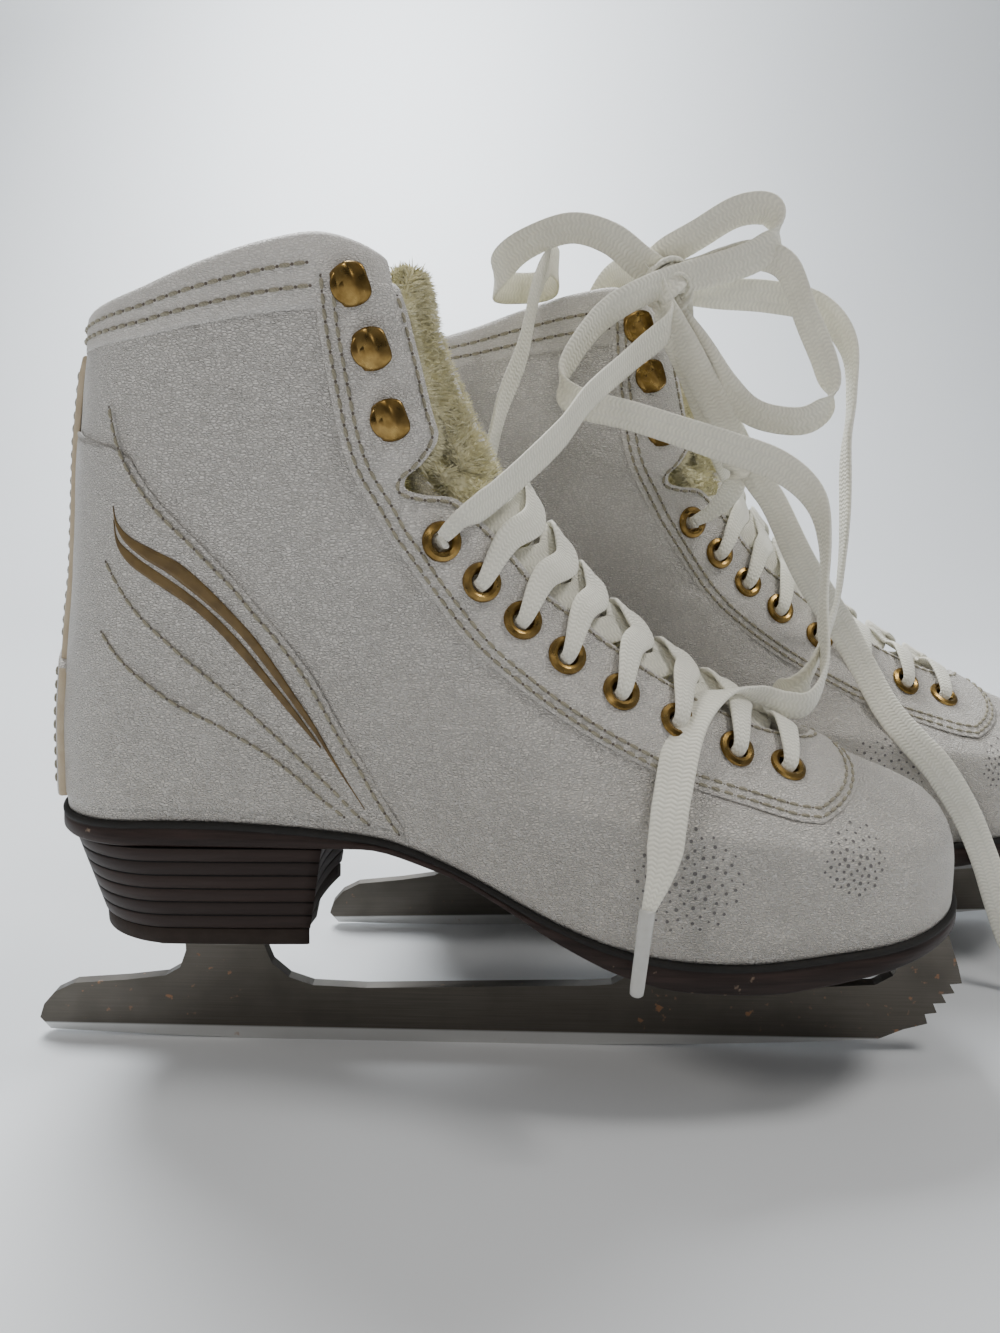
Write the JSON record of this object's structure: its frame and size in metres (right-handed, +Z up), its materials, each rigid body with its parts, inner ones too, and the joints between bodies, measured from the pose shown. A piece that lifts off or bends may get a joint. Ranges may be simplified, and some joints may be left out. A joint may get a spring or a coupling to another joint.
{
  "type": "figure skates",
  "caption": "Pair of laced figure skates with fleece-lined ankle boots, stacked heels and steel toe-pick blades, tied together at the laces.",
  "frame": {"origin": "on the floor below the middle of the pair's bounding box, laces left out", "axes": "+X toward the toes, +Y toward the left skate, +Z up"},
  "size_m": [0.38, 0.189, 0.2463],
  "materials": {
    "leather_white": "fine grained, lightly creased",
    "leather_facing": "fine grained, double stitched",
    "leather_binding": "folded and stitched",
    "leather_heel": "fine grained, stitched lines",
    "backstay_edge": "raw edged strip",
    "backstay_patch": "raw edged patch",
    "fleece_lining": "short plush pile",
    "stiffener": "pressed fibre",
    "stiffener_toe": "pressed fibre",
    "leather_tongue": "soft",
    "fleece_tongue": "short plush pile",
    "leather_tongue_flap": "soft",
    "fleece_flap": "short plush pile",
    "sock": "felted",
    "board": "pressed fibre board",
    "spring_steel": "rolled",
    "sole_brown": "dark, streaked, black top line",
    "heel_brown": "stacked layers",
    "heel_rubber": "matt",
    "plate_steel": "worn plated",
    "plate_steel_sole": "worn plated",
    "blade_steel": "ground, light rust specks",
    "screws": "plated",
    "brass_eyelets": "antique",
    "brass_hooks": "antique",
    "lace_held": "flat woven",
    "lace_free": "flat woven",
    "aglet_film": "milky clear",
    "lace_knot": "flat woven"
  },
  "bodies": {
    "skates": {"right_upper": "leather_white", "right_eyestay": "leather_facing", "right_collar_binding": "leather_binding", "right_heel_panel": "leather_heel", "right_backstay": "backstay_edge", "right_backstay_patch": "backstay_patch", "right_lining": "fleece_lining", "right_heel_stiffener": "stiffener", "right_toe_puff": "stiffener_toe", "right_tongue_base": "leather_tongue", "right_fleece_base": "fleece_tongue", "right_insole": "sock", "right_insole_board": "board", "right_shank": "spring_steel", "right_outsole": "sole_brown", "right_heel_lifts": "heel_brown", "right_top_lift": "heel_rubber", "right_heel_plate": "plate_steel", "right_sole_plate": "plate_steel_sole", "right_blade": "blade_steel", "right_plate_screws": "screws", "right_eyelets": "brass_eyelets", "right_hooks": "brass_hooks", "right_lacing": "lace_held", "left_upper": "leather_white", "left_eyestay": "leather_facing", "left_collar_binding": "leather_binding", "left_heel_panel": "leather_heel", "left_backstay": "backstay_edge", "left_backstay_patch": "backstay_patch", "left_lining": "fleece_lining", "left_heel_stiffener": "stiffener", "left_toe_puff": "stiffener_toe", "left_tongue_base": "leather_tongue", "left_fleece_base": "fleece_tongue", "left_insole": "sock", "left_insole_board": "board", "left_shank": "spring_steel", "left_outsole": "sole_brown", "left_heel_lifts": "heel_brown", "left_top_lift": "heel_rubber", "left_heel_plate": "plate_steel", "left_sole_plate": "plate_steel_sole", "left_blade": "blade_steel", "left_plate_screws": "screws", "left_eyelets": "brass_eyelets", "left_hooks": "brass_hooks", "left_lacing": "lace_held", "right_outer_lace": "lace_free", "right_inner_lace": "lace_free", "left_outer_lace": "lace_free", "left_inner_lace": "lace_free", "aglets": "aglet_film", "bow_knot": "lace_knot"},
    "right_tongue": {"right_tongue_flap": "leather_tongue_flap", "right_fleece_flap": "fleece_flap"},
    "left_tongue": {"left_tongue_flap": "leather_tongue_flap", "left_fleece_flap": "fleece_flap"}
  },
  "joints": [
    {"name": "right_tongue_bend", "type": "hinge", "parent": "skates", "child": "right_tongue", "pos_m": [-0.0355, -0.0437, 0.1665], "axis": [0.0349, 0.9994, 0], "range_deg": [0, 30]},
    {"name": "left_tongue_bend", "type": "hinge", "parent": "skates", "child": "left_tongue", "pos_m": [0.0405, 0.0437, 0.1665], "axis": [-0.0349, 0.9994, 0], "range_deg": [0, 30]}
  ]
}
